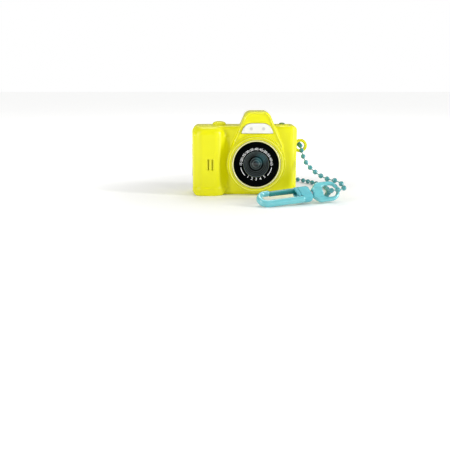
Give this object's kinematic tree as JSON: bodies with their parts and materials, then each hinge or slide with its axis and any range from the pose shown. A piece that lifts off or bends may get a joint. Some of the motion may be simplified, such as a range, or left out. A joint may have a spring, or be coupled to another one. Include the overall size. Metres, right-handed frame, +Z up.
{
  "type": "kids digital camera",
  "caption": "Lime yellow toy digital camera shaped like a small SLR, with a teal bead chain and a swivel snap hook.",
  "frame": {"origin": "on the flat underside of the body, at the middle of its width and thickness", "axes": "+X towards the strap lug, -Y the way the lens faces, +Z up"},
  "size_m": [0.1128, 0.1188, 0.0633],
  "materials": {
    "shell": "glossy moulded ABS, lime yellow",
    "trim": "glossy pale yellow",
    "lens_black": "gloss black",
    "glass": "coated lens glass",
    "flash_clear": "translucent white",
    "flash_white": "gloss white",
    "circuit_board": "green solder mask",
    "cell": "satin foil",
    "dark_part": "matte dark grey",
    "screen": "gloss black pane",
    "steel": "bright plated steel",
    "button_teal": "satin teal",
    "flap_rubber": "soft matte yellow",
    "hook_teal": "glossy light teal",
    "gate_teal": "glossy dark teal",
    "chain_teal": "glossy dark teal"
  },
  "bodies": {
    "camera": {"front_shell": "shell", "rear_cover": "shell", "lens_barrel": "shell", "strap_lug": "shell", "lens_trim_ring": "trim", "lens_bezel": "lens_black", "lens_cone": "lens_black", "lens_module": "lens_black", "front_glass": "glass", "flash_window": "flash_clear", "flash_reflector": "flash_white", "flash_led_left": "flash_white", "flash_led_right": "flash_white", "main_board": "circuit_board", "top_board": "circuit_board", "flash_board": "circuit_board", "image_sensor_board": "circuit_board", "battery": "cell", "speaker": "dark_part", "keypad_sheet": "dark_part", "display_module": "dark_part", "display_window": "screen", "case_screw_1": "steel", "case_screw_2": "steel", "case_screw_3": "steel", "case_screw_4": "steel", "usb_socket": "steel", "card_socket": "steel", "microphone": "steel", "shutter_switch": "steel", "power_switch": "steel", "swivel_pin": "steel", "swivel_eye": "hook_teal", "bead_chain": "chain_teal", "chain_clasp": "chain_teal"},
    "shutter": {"shutter_button": "shell"},
    "power": {"power_button": "button_teal"},
    "key_up": {"button_up": "button_teal"},
    "key_down": {"button_down": "button_teal"},
    "key_left": {"button_left": "button_teal"},
    "key_right": {"button_right": "button_teal"},
    "key_ok": {"button_ok": "button_teal"},
    "key_mode": {"button_mode": "button_teal"},
    "key_playback": {"button_playback": "button_teal"},
    "port_flap": {"port_cover": "flap_rubber"},
    "hook": {"hook_frame": "hook_teal", "hook_collar": "hook_teal"},
    "gate": {"hook_gate": "gate_teal"}
  },
  "joints": [
    {"name": "shutter_press", "type": "slide", "parent": "camera", "child": "shutter", "axis": [0, 0, -1], "range_m": [0, 0.001], "stiffness_N_per_m": 400},
    {"name": "power_press", "type": "slide", "parent": "camera", "child": "power", "axis": [0, 0, -1], "range_m": [0, 0.0007], "stiffness_N_per_m": 400},
    {"name": "up_press", "type": "slide", "parent": "camera", "child": "key_up", "axis": [0, -1, 0], "range_m": [0, 0.0007], "stiffness_N_per_m": 400},
    {"name": "down_press", "type": "slide", "parent": "camera", "child": "key_down", "axis": [0, -1, 0], "range_m": [0, 0.0007], "stiffness_N_per_m": 400},
    {"name": "left_press", "type": "slide", "parent": "camera", "child": "key_left", "axis": [0, -1, 0], "range_m": [0, 0.0007], "stiffness_N_per_m": 400},
    {"name": "right_press", "type": "slide", "parent": "camera", "child": "key_right", "axis": [0, -1, 0], "range_m": [0, 0.0007], "stiffness_N_per_m": 400},
    {"name": "ok_press", "type": "slide", "parent": "camera", "child": "key_ok", "axis": [0, -1, 0], "range_m": [0, 0.0007], "stiffness_N_per_m": 400},
    {"name": "mode_press", "type": "slide", "parent": "camera", "child": "key_mode", "axis": [0, -1, 0], "range_m": [0, 0.0007], "stiffness_N_per_m": 400},
    {"name": "playback_press", "type": "slide", "parent": "camera", "child": "key_playback", "axis": [0, -1, 0], "range_m": [0, 0.0007], "stiffness_N_per_m": 400},
    {"name": "port_cover_hinge", "type": "hinge", "parent": "camera", "child": "port_flap", "pos_m": [-0.0405, -0.0008, 0.0134], "axis": [0, -1, 0], "range_deg": [0, 110]},
    {"name": "hook_swivel", "type": "hinge", "parent": "camera", "child": "hook", "pos_m": [0.04059, -0.04819, 0.00664], "axis": [0.954, 0.2917, 0.0698], "continuous": true},
    {"name": "gate_hinge", "type": "hinge", "parent": "hook", "child": "gate", "pos_m": [0.03581, -0.04476, 0.00889], "axis": [0.0784, -0.467, 0.8808], "range_deg": [0, 18], "stiffness_Nm_per_rad": 0.02}
  ]
}
